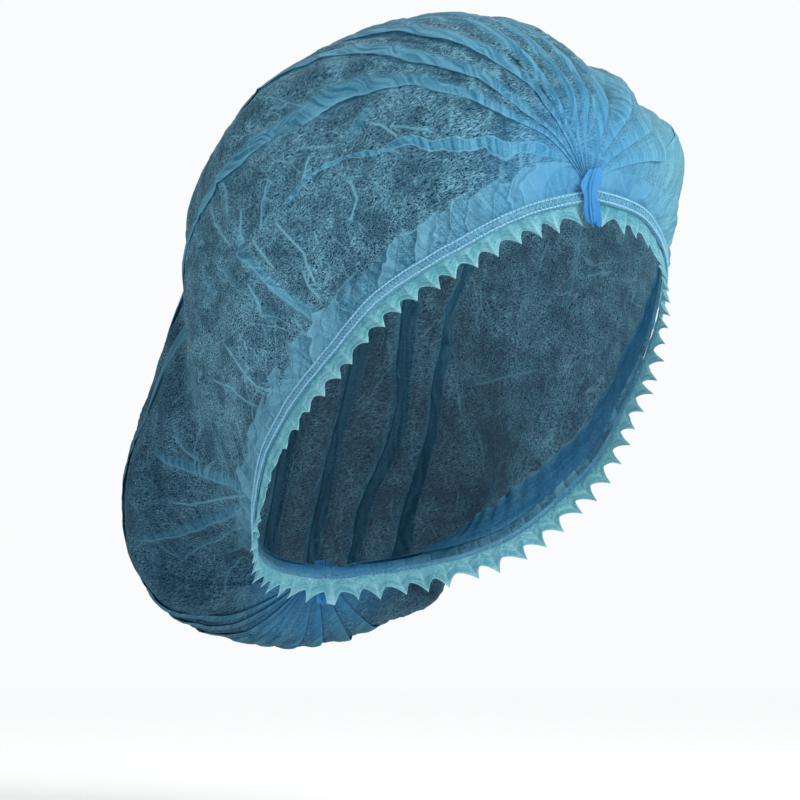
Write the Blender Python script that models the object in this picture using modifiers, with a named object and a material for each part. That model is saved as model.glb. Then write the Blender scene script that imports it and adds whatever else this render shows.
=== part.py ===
"""Disposable hairnet: a pleated non-woven clip cap that keeps the form it has on a head.

Units are metres, +Z is up, the wearer faces -Y and the wearer's right is -X. The origin is the middle
of the head, about halfway in height between the elastic at the brow and the elastic at the nape.
"""

import math

import bmesh
import bpy
import numpy as np

# Sizes of the head opening, measured to the elastic
HEAD_HALF_WIDTH = 0.076
BROW_REACH = 0.097
NAPE_REACH = 0.069
BROW_HEIGHT = 0.071
NAPE_DROP = 0.068

# Sizes of the crown
CROWN_HEIGHT = 0.139
CROWN_HALF_WIDTH = 0.084
BAG_REACH = 0.126
BAG_DROP = 0.092

# Shares of the crown: its width over which it swells from the rim, and its length that each knot takes
SWELL_SHARE = 0.35
KNOT_SHARE = 0.015

# The hem's ends, as shares of the way from knot to knot
HEM_START_SHARE = 0.05
HEM_END_SHARE = 0.84

# Cloth, elastic and frill
CLOTH_WALL = 0.0010
HEM_WALL = 0.0010
HEM_WIDTH = 0.013
HEM_GAP = 0.0009
BAND_WIDTH = 0.0045
BAND_WALL = 0.0012
RUFFLE_LENGTH = 0.0085
RUFFLE_WAVE = 0.0016
RUFFLE_WALL = 0.0010
TUFT_LENGTH = 0.021
TUFT_HALF_WIDTH = 0.0078
TUFT_DEPTH = 0.0085
TUFT_WAIST_SHARE = 0.70
TUFT_DROP = 0.0034
TUFT_TURN_SHARE = 0.0045
GAP = 0.0003
SEAM_GAP = 0.0007

# How finely each piece is divided
CROWN_STEPS_ALONG = 34
CROWN_STEPS_ACROSS = 46
CROWDING = 0.4
HEM_GATHERS = 33
BAND_STEPS = 96
RUFFLE_TEETH = 66
STEPS_PER_TOOTH = 4
TUFT_GROOVES = 5


def table(columns, *rows):
    """Gives a table's columns by name."""
    return dict(zip(columns.split(), np.array(rows, float).T))


# Cross sections of the crown from the front knot (way 0) to the back knot (way 1). Each is an arch that
# starts at the elastic, widens to half_width and passes over the top line. Shares are of the named
# sizes: along is of BROW_REACH forward and of NAPE_REACH or BAG_REACH backward, up is of BROW_HEIGHT or
# CROWN_HEIGHT upward and of NAPE_DROP or BAG_DROP downward.
SECTIONS = table(
    "way  rim_across rim_along rim_up top_along top_up half_width",
    (0.00, 0.00, -1.00, 1.00, -1.02, 0.535, 0.05),
    (0.02, 0.10, -0.99, 0.98, -1.015, 0.575, 0.10),
    (0.06, 0.30, -0.95, 0.93, -0.99, 0.70, 0.36),
    (0.13, 0.58, -0.81, 0.76, -0.83, 0.83, 0.62),
    (0.22, 0.83, -0.55, 0.49, -0.50, 0.955, 0.82),
    (0.30, 0.93, -0.36, 0.22, -0.19, 1.00, 0.95),
    (0.38, 0.985, -0.16, -0.04, 0.13, 0.98, 1.05),
    (0.46, 0.99, 0.03, -0.34, 0.40, 0.91, 1.07),
    (0.53, 0.90, 0.25, -0.57, 0.61, 0.80, 1.05),
    (0.61, 0.77, 0.47, -0.77, 0.77, 0.56, 0.99),
    (0.69, 0.62, 0.67, -0.88, 0.85, 0.27, 1.03),
    (0.76, 0.48, 0.80, -0.93, 0.91, 0.00, 1.10),
    (0.82, 0.36, 0.89, -0.96, 0.97, -0.38, 1.07),
    (0.88, 0.24, 0.95, -0.98, 0.94, -0.78, 0.95),
    (0.93, 0.14, 0.985, -0.99, 0.82, -1.02, 0.79),
    (0.965, 0.07, 0.995, -1.00, 0.70, -0.97, 0.50),
    (0.985, 0.03, 1.00, -1.00, 0.63, -0.76, 0.12),
    (1.00, 0.00, 1.00, -1.00, 0.60, -0.66, 0.06),
)

# Soft swellings and dents of the crown. Place and reach are shares of the way from knot to knot and of
# the width from right rim to left rim, and rise is a share of CROWN_HALF_WIDTH.
SWELLINGS = table(
    "way  across reach_way reach_across rise",
    (0.18, 0.82, 0.09, 0.10, 0.09),
    (0.12, 0.68, 0.04, 0.03, 0.02),
    (0.16, 0.62, 0.08, 0.03, -0.09),
    (0.60, 0.24, 0.035, 0.16, -0.07),
    (0.88, 0.22, 0.05, 0.12, 0.02),
    (0.46, 0.27, 0.10, 0.12, 0.08),
    (0.22, 0.66, 0.05, 0.02, -0.05),
    (0.17, 0.74, 0.06, 0.03, -0.05),
)

# Pleats from the front knot to the back knot: where each lies across the crown at the front, over the
# ears and at the back, where it starts and ends on the way, and its width and rise as shares of the
# crown's width and of CROWN_HALF_WIDTH.
PLEATS = table(
    "front middle back start end  width  rise",
    (0.17, 0.16, 0.20, 0.04, 0.80, 0.024, 0.032),
    (0.34, 0.26, 0.24, 0.02, 0.90, 0.028, 0.048),
    (0.36, 0.345, 0.33, 0.02, 0.95, 0.018, 0.030),
    (0.39, 0.41, 0.40, 0.02, 0.97, 0.022, 0.044),
    (0.44, 0.49, 0.47, 0.02, 0.95, 0.020, 0.034),
    (0.50, 0.56, 0.54, 0.02, 0.97, 0.022, 0.040),
    (0.58, 0.64, 0.62, 0.03, 0.95, 0.024, 0.034),
    (0.68, 0.73, 0.72, 0.03, 0.95, 0.026, 0.044),
    (0.80, 0.83, 0.80, 0.04, 0.85, 0.024, 0.034),
)


def read(rows, column, way):
    """Reads a column of SECTIONS at any way along, on a smooth curve through its rows."""
    knots = rows["way"]
    values = rows[column]
    slopes = np.gradient(values, knots)
    way = np.clip(way, 0, 1)
    left = np.clip(np.searchsorted(knots, way, side="right") - 1, 0, len(knots) - 2)
    step = knots[left + 1] - knots[left]
    t = (way - knots[left]) / step
    start = (1 + 2 * t) * (1 - t) ** 2 * values[left] + t * (1 - t) ** 2 * step * slopes[left]
    end = t**2 * (3 - 2 * t) * values[left + 1] + t**2 * (t - 1) * step * slopes[left + 1]
    return start + end


def signed_size(share, size_if_positive, size_if_negative):
    """Turns a signed share into a length, with its own named size on each side of zero."""
    return np.where(share > 0, share * size_if_positive, share * size_if_negative)


def unit(vectors):
    return vectors / np.linalg.norm(vectors, axis=-1, keepdims=True)


def rim(turn):
    """Points on the elastic's middle line, a whole turn from the front knot by the wearer's right."""
    turn = np.mod(turn, 1)
    way = 1 - np.abs(2 * turn - 1)
    side = np.where(turn < 0.5, -1, 1)
    along = signed_size(read(SECTIONS, "rim_along", way), NAPE_REACH, BROW_REACH)
    up = signed_size(read(SECTIONS, "rim_up", way), BROW_HEIGHT, NAPE_DROP)
    return np.stack([side * HEAD_HALF_WIDTH * read(SECTIONS, "rim_across", way), along, up], -1)


def rim_frame(turn):
    """The rim's direction, its outward direction and the direction from the crown to the face."""
    step = 0.002
    direction = unit(rim(turn + step) - rim(turn - step))
    place = rim(turn)
    reach = np.where(place[..., 1] < 0, BROW_REACH, NAPE_REACH)
    outward = np.stack(
        [place[..., 0] / HEAD_HALF_WIDTH**2, place[..., 1] / reach**2, np.zeros_like(reach)], -1
    )
    outward = unit(outward)
    outward = unit(outward - (outward * direction).sum(-1, keepdims=True) * direction)
    return direction, outward, np.cross(outward, direction)


def rim_offset(turn, outward_by, faceward_by):
    """A point at a distance from the elastic's middle line."""
    _, outward, faceward = rim_frame(turn)
    outward_by = np.asarray(outward_by)[..., None]
    faceward_by = np.asarray(faceward_by)[..., None]
    return rim(turn) + outward_by * outward + faceward_by * faceward


def even_turn(share):
    """The turn at a share of the elastic's length, for what is spaced evenly along it."""
    turn = np.linspace(0, 1, 1001)
    steps = np.linalg.norm(np.diff(rim(turn), axis=0), axis=-1)
    run = np.concatenate([[0], np.cumsum(steps)]) / steps.sum()
    return np.interp(share, run, turn)


def smooth_crown(way, across):
    """The crown without pleats, from the front knot to the back and from the right rim to the left."""
    edge = rim_offset(way / 2, 0, -(BAND_WIDTH / 2 + SEAM_GAP))
    top_along = signed_size(read(SECTIONS, "top_along", way), BAG_REACH, BROW_REACH)
    top_up = signed_size(read(SECTIONS, "top_up", way), CROWN_HEIGHT, BAG_DROP)
    chord = np.stack([top_along - edge[..., 1], top_up - edge[..., 2]], -1)
    half_rim = np.abs(edge[..., 0])
    half_width = CROWN_HALF_WIDTH * read(SECTIONS, "half_width", way)
    from_rim = 1 - np.abs(2 * across - 1)
    swell = np.sin(math.pi / 2 * np.clip(from_rim / SWELL_SHARE, 0, 1))
    width = half_rim + np.maximum(half_width - half_rim, 0) * swell
    angle = math.pi * across
    return np.stack(
        [
            -width * np.cos(angle),
            edge[..., 1] + chord[..., 0] * np.sin(angle),
            edge[..., 2] + chord[..., 1] * np.sin(angle),
        ],
        -1,
    )


def outward_on(surface, way, across):
    """The outward unit normal of a surface function of way and across."""
    step = 0.004
    along = surface(np.clip(way + step, 0, 1), across) - surface(np.clip(way - step, 0, 1), across)
    side = surface(way, np.clip(across + step, 0, 1)) - surface(way, np.clip(across - step, 0, 1))
    return unit(np.cross(side, along))


def bump(distance):
    """A smooth hump, 1 in its middle and near 0 past a distance of 2."""
    return np.exp(-(distance**2))


def ease(value, start, end):
    """Goes smoothly from 0 at start to 1 at end."""
    t = np.clip((value - start) / (end - start), 0, 1)
    return t * t * (3 - 2 * t)


def pleat_place(row, way):
    """Where a pleat lies across the crown, on a parabola through its three places."""
    front, middle, back = (PLEATS[name][row] for name in ("front", "middle", "back"))
    bend = 2 * (front + back - 2 * middle)
    return front + (back - front - bend) * way + bend * way**2


def relief(way, across):
    """How far the swellings and pleats stand out of the smooth crown."""
    lift = np.zeros(np.broadcast(way, across).shape)
    for place_way, place_across, reach_way, reach_across, rise in zip(*SWELLINGS.values()):
        far = np.hypot((way - place_way) / reach_way, (across - place_across) / reach_across)
        lift = lift + rise * bump(far)
    for row, (start, end, width, rise) in enumerate(
        zip(*(PLEATS[name] for name in ("start", "end", "width", "rise")))
    ):
        fade = ease(way, start, start + 0.15) * (1 - ease(way, end - 0.15, end))
        lift = lift + rise * fade * bump((across - pleat_place(row, way)) / width)
    at_rim = ease(across, 0, 0.08) * (1 - ease(across, 0.92, 1))
    at_knot = ease(way, 0, 0.12) * (1 - ease(way, 0.90, 1))
    return CROWN_HALF_WIDTH * lift * at_rim * at_knot


def crown(way, across):
    """The crown's outer face."""
    lift = relief(way, across)[..., None]
    return smooth_crown(way, across) + lift * outward_on(smooth_crown, way, across)


def arch_length(way):
    """The length of the crown's outer face from rim to rim at a way along."""
    across = np.linspace(0, 1, 60)
    points = crown(way[:, None], across[None, :])
    return np.linalg.norm(np.diff(points, axis=1), axis=-1).sum(1)


def crown_place(u, v):
    """The crown as a function of a flat sheet, with more rows towards the knots."""
    crowded = u - CROWDING * np.sin(2 * math.pi * u) / (2 * math.pi)
    return crown(KNOT_SHARE + (1 - 2 * KNOT_SHARE) * crowded, v)


def hem_place(side):
    """Gives a function for the hem of one side, which lies inside the crown's wall."""

    def place(u, v):
        way = HEM_START_SHARE + (HEM_END_SHARE - HEM_START_SHARE) * u
        gather = 0.80 + 0.20 * np.cos(2 * math.pi * HEM_GATHERS * u)
        share = v * gather * HEM_WIDTH / arch_length(way)
        across = share if side == "right" else 1 - share
        inset = CLOTH_WALL + HEM_GAP
        return crown(way, across) - inset * outward_on(crown, way, across)

    return place


def band_place(u, v):
    return rim_offset(even_turn(u), np.zeros_like(u), BAND_WIDTH * (v - 0.5))


def ruffle_place(u, v):
    """The frill: each tooth is a fold that stands out and hangs lower than the cloth between."""
    phase = np.mod(u * RUFFLE_TEETH, 1)
    fold = np.abs(2 * phase - 1)
    length = RUFFLE_LENGTH * (0.50 + 0.50 * fold**2)
    from_knot = np.minimum(np.mod(u, 0.5), 0.5 - np.mod(u, 0.5))
    under_tuft = 1 - ease(from_knot, 0.5 / RUFFLE_TEETH, 2 / RUFFLE_TEETH)
    stand = v * (RUFFLE_WAVE * (2 * fold - 0.4) * (1 - under_tuft) - RUFFLE_WAVE * under_tuft)
    return rim_offset(even_turn(u), stand, BAND_WIDTH / 2 + SEAM_GAP + v * length)


def material(name, colour, roughness):
    made = bpy.data.materials.new(name)
    made.use_nodes = True
    made.diffuse_color = (*colour, 1)
    shader = made.node_tree.nodes["Principled BSDF"]
    shader.inputs["Base Color"].default_value = (*colour, 1)
    shader.inputs["Roughness"].default_value = roughness
    shader.inputs["Metallic"].default_value = 0
    return made


def finish_object(mesh, name, finish, collection):
    mesh.materials.append(finish)
    mesh.shade_smooth()
    made = bpy.data.objects.new(name, mesh)
    collection.objects.link(made)
    return made


def cloth(name, place, columns, rows, wall, finish, collection, closed=False, turned=False):
    """A thin wall: a flat grid that a function bends into shape, thickened inwards by Solidify.

    A turned sheet is one whose grid faces inwards once it is bent.
    """
    sheet = bmesh.new()
    bmesh.ops.create_grid(sheet, x_segments=columns, y_segments=rows, size=0.5)
    flat = np.array([vertex.co for vertex in sheet.verts]) + 0.5
    for vertex, point in zip(sheet.verts, place(flat[:, 0], flat[:, 1])):
        vertex.co = point
    if closed:
        bmesh.ops.remove_doubles(sheet, verts=sheet.verts, dist=1e-5)
    if turned:
        bmesh.ops.reverse_faces(sheet, faces=sheet.faces)
    mesh = bpy.data.meshes.new(name)
    sheet.to_mesh(mesh)
    sheet.free()
    made = finish_object(mesh, name, finish, collection)
    thick = made.modifiers.new("Wall", "SOLIDIFY")
    thick.thickness = wall
    thick.offset = -1
    thick.use_even_offset = False
    return made


def tuft(name, turn, finish, collection):
    """The bunched end of the strip: a grooved tail that hangs in front of the elastic."""
    body = bmesh.new()
    bmesh.ops.create_uvsphere(body, u_segments=20, v_segments=12, radius=1)
    turn = np.array([turn])
    direction, outward, faceward = (vector[0] for vector in rim_frame(turn))
    middle = rim(turn)[0] + outward * (GAP + TUFT_WAIST_SHARE * TUFT_DEPTH / 2) + faceward * TUFT_DROP
    for vertex in body.verts:
        x, y, z = vertex.co
        groove = 1 + 0.14 * math.cos(TUFT_GROOVES * math.atan2(y, x))
        flare = TUFT_WAIST_SHARE + (1 - TUFT_WAIST_SHARE) * z**2
        across = x * TUFT_HALF_WIDTH * groove * flare
        deep = y * TUFT_DEPTH / 2 * min(groove, 1) * flare
        down = -z * TUFT_LENGTH / 2
        vertex.co = middle + across * direction + deep * outward + down * faceward
    bmesh.ops.recalc_face_normals(body, faces=body.faces)
    mesh = bpy.data.meshes.new(name)
    body.to_mesh(mesh)
    body.free()
    return finish_object(mesh, name, finish, collection)


def main():
    for old in list(bpy.data.objects):
        bpy.data.objects.remove(old, do_unlink=True)
    hairnet = bpy.data.collections.new("disposable_hairnet")
    bpy.context.scene.collection.children.link(hairnet)

    spunbond = material("spunbond_cloth", (0.10, 0.33, 0.45), 0.75)
    turned_in = material("turned_in_cloth", (0.16, 0.42, 0.56), 0.75)
    elastic = material("sewn_elastic", (0.30, 0.60, 0.72), 0.65)
    frill = material("frill_cloth", (0.20, 0.52, 0.55), 0.75)
    bunched = material("bunched_cloth", (0.05, 0.22, 0.58), 0.70)

    steps = (CROWN_STEPS_ALONG, CROWN_STEPS_ACROSS)
    cloth("crown", crown_place, *steps, CLOTH_WALL, spunbond, hairnet, turned=True)
    steps = (3 * HEM_GATHERS, 1)
    cloth("hem_right", hem_place("right"), *steps, HEM_WALL, turned_in, hairnet, turned=True)
    cloth("hem_left", hem_place("left"), *steps, HEM_WALL, turned_in, hairnet)
    cloth("elastic_band", band_place, BAND_STEPS, 1, BAND_WALL, elastic, hairnet, closed=True)
    teeth_steps = RUFFLE_TEETH * STEPS_PER_TOOTH
    cloth("ruffle", ruffle_place, teeth_steps, 1, RUFFLE_WALL, frill, hairnet, closed=True)
    tuft("front_tuft", TUFT_TURN_SHARE, bunched, hairnet)
    tuft("back_tuft", 0.5, bunched, hairnet)


main()
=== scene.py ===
# %% [markdown]
# # A disposable hairnet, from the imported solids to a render
#
# The cap is one strip of spunbond polypropylene. Its long edges are turned in and sewn to an
# elastic, and its ends are bunched at the brow and at the nape. The CAD solids give each piece its
# size and place. This script replaces them with the real cloth: folds that lie in three layers,
# gathers, a toothed frill, stitches and the fibres of the web.

# %% load the frame
import math
from functools import partial

import bpy
import numpy as np
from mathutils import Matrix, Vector


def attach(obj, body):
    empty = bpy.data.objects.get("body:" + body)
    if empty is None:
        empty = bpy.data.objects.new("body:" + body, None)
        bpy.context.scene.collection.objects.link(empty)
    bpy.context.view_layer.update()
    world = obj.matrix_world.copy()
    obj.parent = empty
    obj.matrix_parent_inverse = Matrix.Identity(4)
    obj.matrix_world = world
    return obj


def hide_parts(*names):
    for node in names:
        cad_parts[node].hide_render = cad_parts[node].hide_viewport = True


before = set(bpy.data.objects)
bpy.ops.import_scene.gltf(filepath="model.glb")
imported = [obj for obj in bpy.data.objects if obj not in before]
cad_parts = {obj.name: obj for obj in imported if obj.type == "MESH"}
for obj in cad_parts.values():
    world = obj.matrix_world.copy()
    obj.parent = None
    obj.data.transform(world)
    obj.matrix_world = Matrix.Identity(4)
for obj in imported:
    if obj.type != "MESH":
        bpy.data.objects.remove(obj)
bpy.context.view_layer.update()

# %% [markdown]
# ## Sizes
#
# The lengths are those of the solids, in metres, with +Z up and the wearer facing -Y. The tables
# hold shares of these lengths, so one number changes one size.

# %% sizes that the solids have too
HEAD_HALF_WIDTH = 0.076
BROW_REACH = 0.097
NAPE_REACH = 0.069
BROW_HEIGHT = 0.071
NAPE_DROP = 0.068
CROWN_HEIGHT = 0.139
CROWN_HALF_WIDTH = 0.084
BAG_REACH = 0.126
BAG_DROP = 0.092
SWELL_SHARE = 0.35
ELASTIC_LENGTH = 0.573
BAND_WIDTH = 0.0045
SEAM_GAP = 0.0007
RUFFLE_LENGTH = 0.0085
RUFFLE_TEETH = 66
TUFT_TURN_SHARE = 0.0045
MM = 0.001


def table(columns, *rows):
    """Gives a table's columns by name."""
    return dict(zip(columns.split(), np.array(rows, float).T))


print("one tooth of the frill each", round(ELASTIC_LENGTH / RUFFLE_TEETH / MM, 1), "mm")

# %% arches over the rim, from the knot at the brow to the one at the nape
SECTIONS = table(
    "way  rim_across rim_along rim_up top_along top_up half_width",
    (0.00, 0.00, -1.00, 1.00, -1.02, 0.535, 0.05),
    (0.02, 0.10, -0.99, 0.98, -1.015, 0.575, 0.10),
    (0.06, 0.30, -0.95, 0.93, -0.99, 0.70, 0.36),
    (0.13, 0.58, -0.81, 0.76, -0.83, 0.83, 0.62),
    (0.22, 0.83, -0.55, 0.49, -0.50, 0.955, 0.82),
    (0.30, 0.93, -0.36, 0.22, -0.19, 1.00, 0.95),
    (0.38, 0.985, -0.16, -0.04, 0.13, 0.98, 1.05),
    (0.46, 0.99, 0.03, -0.34, 0.40, 0.91, 1.07),
    (0.53, 0.90, 0.25, -0.57, 0.61, 0.80, 1.05),
    (0.61, 0.77, 0.47, -0.77, 0.77, 0.56, 0.99),
    (0.69, 0.62, 0.67, -0.88, 0.85, 0.27, 1.03),
    (0.76, 0.48, 0.80, -0.93, 0.91, 0.00, 1.10),
    (0.82, 0.36, 0.89, -0.96, 0.97, -0.38, 1.07),
    (0.88, 0.24, 0.95, -0.98, 0.94, -0.78, 0.95),
    (0.93, 0.14, 0.985, -0.99, 0.82, -1.02, 0.79),
    (0.965, 0.07, 0.995, -1.00, 0.70, -0.97, 0.50),
    (0.985, 0.03, 1.00, -1.00, 0.63, -0.76, 0.12),
    (1.00, 0.00, 1.00, -1.00, 0.60, -0.66, 0.06),
)
SWELLINGS = table(
    "way  across reach_way reach_across rise",
    (0.18, 0.82, 0.09, 0.10, 0.09),
    (0.12, 0.68, 0.04, 0.03, 0.02),
    (0.16, 0.62, 0.08, 0.03, -0.09),
    (0.60, 0.24, 0.035, 0.16, -0.07),
    (0.88, 0.22, 0.05, 0.12, 0.02),
    (0.46, 0.27, 0.10, 0.12, 0.08),
    (0.22, 0.66, 0.05, 0.02, -0.05),
    (0.17, 0.74, 0.06, 0.03, -0.05),
)
print(len(SECTIONS["way"]), "arches and", len(SWELLINGS["way"]), "swellings")

# %% [markdown]
# ## Curves and soft noise
#
# Cloth has no corners, so each column of a table is read on a smooth curve through its rows. Two
# small functions fade things in and out, and one gives soft random values, for what is uneven by
# chance. Blender's modifiers could do some of it, but numbers in arrays can be laid exactly where
# the photograph shows them.


# %% reading the tables
def read(rows, column, way):
    """Reads a table's column at any way along, on a smooth curve through its rows."""
    knots, values = rows["way"], rows[column]
    slopes = np.gradient(values, knots)
    way = np.clip(way, 0, 1)
    left = np.clip(np.searchsorted(knots, way, side="right") - 1, 0, len(knots) - 2)
    step = knots[left + 1] - knots[left]
    t = (way - knots[left]) / step
    start = (1 + 2 * t) * (1 - t) ** 2 * values[left] + t * (1 - t) ** 2 * step * slopes[left]
    end = t**2 * (3 - 2 * t) * values[left + 1] + t**2 * (t - 1) * step * slopes[left + 1]
    return start + end


def signed_size(share, size_if_positive, size_if_negative):
    """Turns a signed share into a length, with its own size on each side of zero."""
    return np.where(share > 0, share * size_if_positive, share * size_if_negative)


# %% fading and directions
def unit(vectors):
    """The same directions, one long."""
    return vectors / np.maximum(np.linalg.norm(vectors, axis=-1, keepdims=True), 1e-12)


def bump(distance):
    """A smooth hump, 1 in its middle and near 0 past a distance of 2."""
    return np.exp(-(distance**2))


def ease(value, start, end):
    """Goes smoothly from 0 at start to 1 at end."""
    t = np.clip((value - start) / (end - start), 0, 1)
    return t * t * (3 - 2 * t)


# %% soft noise
def cloudy(x, y, seed, size):
    """Soft random values from -1 to 1 that change over size, in the units of x and y."""
    grid = np.random.default_rng(seed).uniform(-1, 1, (64, 64))
    x, y = x / size, y / size
    left, low = np.floor(x).astype(int), np.floor(y).astype(int)
    tx, ty = x - left, y - low
    tx, ty = tx * tx * (3 - 2 * tx), ty * ty * (3 - 2 * ty)
    near = grid[left % 64, low % 64] * (1 - tx) + grid[(left + 1) % 64, low % 64] * tx
    far = grid[left % 64, (low + 1) % 64] * (1 - tx) + grid[(left + 1) % 64, (low + 1) % 64] * tx
    return near * (1 - ty) + far * ty


# %% [markdown]
# ## The form of the cap
#
# The rim is the line of the elastic, slanted from the brow over the ears to the nape. The crown is
# a row of arches over it, as on the solids. It could be draped over a head by simulation, but the
# cap's form is held by hair that isn't there, so it is set by its sections.


# %% the rim
def rim(turn):
    """Points on the elastic's middle line, a whole turn from the front knot by the wearer's right."""
    turn = np.mod(turn, 1)
    way = 1 - np.abs(2 * turn - 1)
    side = np.where(turn < 0.5, -1, 1)
    along = signed_size(read(SECTIONS, "rim_along", way), NAPE_REACH, BROW_REACH)
    up = signed_size(read(SECTIONS, "rim_up", way), BROW_HEIGHT, NAPE_DROP)
    return np.stack([side * HEAD_HALF_WIDTH * read(SECTIONS, "rim_across", way), along, up], -1)


def rim_frame(turn):
    """The rim's direction, its outward direction and the direction from the crown to the face."""
    step = 0.002
    direction = unit(rim(turn + step) - rim(turn - step))
    place = rim(turn)
    reach = np.where(place[..., 1] < 0, BROW_REACH, NAPE_REACH)
    flat = np.zeros_like(reach)
    outward = np.stack([place[..., 0] / HEAD_HALF_WIDTH**2, place[..., 1] / reach**2, flat], -1)
    outward = unit(outward)
    outward = unit(outward - (outward * direction).sum(-1, keepdims=True) * direction)
    return direction, outward, np.cross(outward, direction)


def rim_offset(turn, outward_by, faceward_by):
    """A point at a distance from the elastic's middle line."""
    _, outward, faceward = rim_frame(turn)
    outward_by = np.asarray(outward_by)[..., None]
    faceward_by = np.asarray(faceward_by)[..., None]
    return rim(turn) + outward_by * outward + faceward_by * faceward


def even_turn(share):
    """The turn at a share of the elastic's length, for what is spaced evenly along it."""
    turn = np.linspace(0, 1, 4001)
    steps = np.linalg.norm(np.diff(rim(turn), axis=0), axis=-1)
    run = np.concatenate([[0], np.cumsum(steps)]) / steps.sum()
    return np.interp(np.mod(share, 1), run, turn)


# %% the crown without folds
def smooth_crown(way, across):
    """The crown without folds, from the front knot to the back and from right rim to left rim."""
    edge = rim_offset(way / 2, 0, -(BAND_WIDTH / 2 + SEAM_GAP))
    top_along = signed_size(read(SECTIONS, "top_along", way), BAG_REACH, BROW_REACH)
    top_up = signed_size(read(SECTIONS, "top_up", way), CROWN_HEIGHT, BAG_DROP)
    chord = np.stack([top_along - edge[..., 1], top_up - edge[..., 2]], -1)
    half_rim = np.abs(edge[..., 0])
    half_width = CROWN_HALF_WIDTH * read(SECTIONS, "half_width", way)
    from_rim = 1 - np.abs(2 * across - 1)
    swell = np.sin(math.pi / 2 * np.clip(from_rim / SWELL_SHARE, 0, 1))
    width = half_rim + np.maximum(half_width - half_rim, 0) * swell
    angle = math.pi * across
    along = edge[..., 1] + chord[..., 0] * np.sin(angle)
    up = edge[..., 2] + chord[..., 1] * np.sin(angle)
    return np.stack([-width * np.cos(angle), along, up], -1)


def outward_on(surface, way, across):
    """The outward unit normal of a surface function of way and across."""
    step = 0.004
    along = surface(np.clip(way + step, 0, 1), across) - surface(np.clip(way - step, 0, 1), across)
    side = surface(way, np.clip(across + step, 0, 1)) - surface(way, np.clip(across - step, 0, 1))
    return unit(np.cross(side, along))


def crown(way, across):
    """The crown with its soft swellings, which the folds are laid on."""
    lift = np.zeros(np.broadcast(way, across).shape)
    for place_way, place_across, reach_way, reach_across, rise in zip(*SWELLINGS.values()):
        far = np.hypot((way - place_way) / reach_way, (across - place_across) / reach_across)
        lift = lift + rise * bump(far)
    at_rim = ease(across, 0, 0.08) * (1 - ease(across, 0.92, 1))
    at_knot = ease(way, 0, 0.12) * (1 - ease(way, 0.90, 1))
    lift = (CROWN_HALF_WIDTH * lift * at_rim * at_knot)[..., None]
    return smooth_crown(way, across) + lift * outward_on(smooth_crown, way, across)


rim_length = np.linalg.norm(np.diff(rim(np.linspace(0, 1, 2001)), axis=0), axis=-1).sum()
print("rim", round(rim_length / MM), "mm round, for an elastic of", ELASTIC_LENGTH / MM, "mm")

# %% [markdown]
# ## Folds
#
# A cap like this is folded like a fan before its ends are bunched, so on the head each fold runs
# from the front knot to the back one and lies flat in three layers of cloth. The cloth goes
# forward, turns back under itself and goes forward again. Three layers let less light through, so
# the folds show as smooth, lighter bands. A bump texture would give the tone of a fold but not its
# edge and shadow, so the layers are real, in one sheet that is laid row by row.

# %% where the folds lie
FOLD_WAYS = np.array([0.0, 0.04, 0.08, 0.13, 0.20, 0.30, 0.42, 0.60, 0.80, 0.95, 1.0])
# Side to which the top layer's edge points, width (mm), rise (mm), and places across at FOLD_WAYS
FOLDS = (
    (-1, 7.5, 2.2, (0.33, 0.31, 0.285, 0.295, 0.285, 0.268, 0.225, 0.20, 0.20, 0.22, 0.30)),
    (-1, 5.5, 1.8, (0.36, 0.335, 0.315, 0.33, 0.332, 0.338, 0.335, 0.29, 0.27, 0.27, 0.34)),
    (-1, 5.5, 2.0, (0.39, 0.365, 0.36, 0.388, 0.392, 0.392, 0.40, 0.37, 0.34, 0.33, 0.38)),
    (1, 4.0, 1.6, (0.41, 0.395, 0.405, 0.432, 0.44, 0.435, 0.44, 0.41, 0.385, 0.37, 0.41)),
    (1, 4.5, 1.8, (0.44, 0.425, 0.45, 0.475, 0.488, 0.485, 0.49, 0.465, 0.43, 0.41, 0.43)),
    (1, 4.5, 1.8, (0.47, 0.465, 0.50, 0.522, 0.532, 0.54, 0.545, 0.53, 0.49, 0.45, 0.46)),
    (1, 6.5, 2.2, (0.52, 0.54, 0.56, 0.58, 0.59, 0.60, 0.60, 0.59, 0.55, 0.50, 0.50)),
    (1, 5.0, 1.8, (0.56, 0.61, 0.645, 0.655, 0.66, 0.66, 0.66, 0.65, 0.62, 0.56, 0.54)),
    (1, 6.0, 1.8, (0.61, 0.69, 0.735, 0.74, 0.735, 0.73, 0.72, 0.71, 0.69, 0.63, 0.59)),
    (1, 5.0, 1.6, (0.68, 0.78, 0.825, 0.82, 0.805, 0.79, 0.78, 0.77, 0.75, 0.70, 0.65)),
)
# A fold's cross section, from where the cloth leaves the crown to where it comes back: how far
# along (in widths, towards the edge that points), how high, how many more layers, and how near an edge,
# which gets a painted highlight
FOLD_SECTION = table(
    "along high layers edge",
    (-1.30, 0.00, 0.0, 0.0),
    (-1.00, 0.22, 0.1, 0.0),
    (-0.70, 0.60, 0.45, 0.0),
    (-0.35, 0.92, 0.9, 0.0),
    (0.00, 1.00, 1.0, 0.0),
    (0.30, 0.96, 1.0, 0.25),
    (0.46, 0.84, 1.0, 0.8),
    (0.50, 0.68, 1.0, 1.0),
    (0.42, 0.52, 1.0, 0.7),
    (0.10, 0.46, 1.0, 0.2),
    (-0.22, 0.40, 1.0, 0.2),
    (-0.42, 0.32, 1.0, 0.6),
    (-0.48, 0.18, 1.0, 0.8),
    (-0.38, 0.06, 0.9, 0.4),
    (0.00, 0.02, 0.8, 0.1),
    (0.42, 0.00, 0.5, 0.0),
    (0.80, 0.00, 0.0, 0.0),
)
print(len(FOLDS), "folds, half widths", sorted({fold[1] for fold in FOLDS}), "mm")

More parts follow.
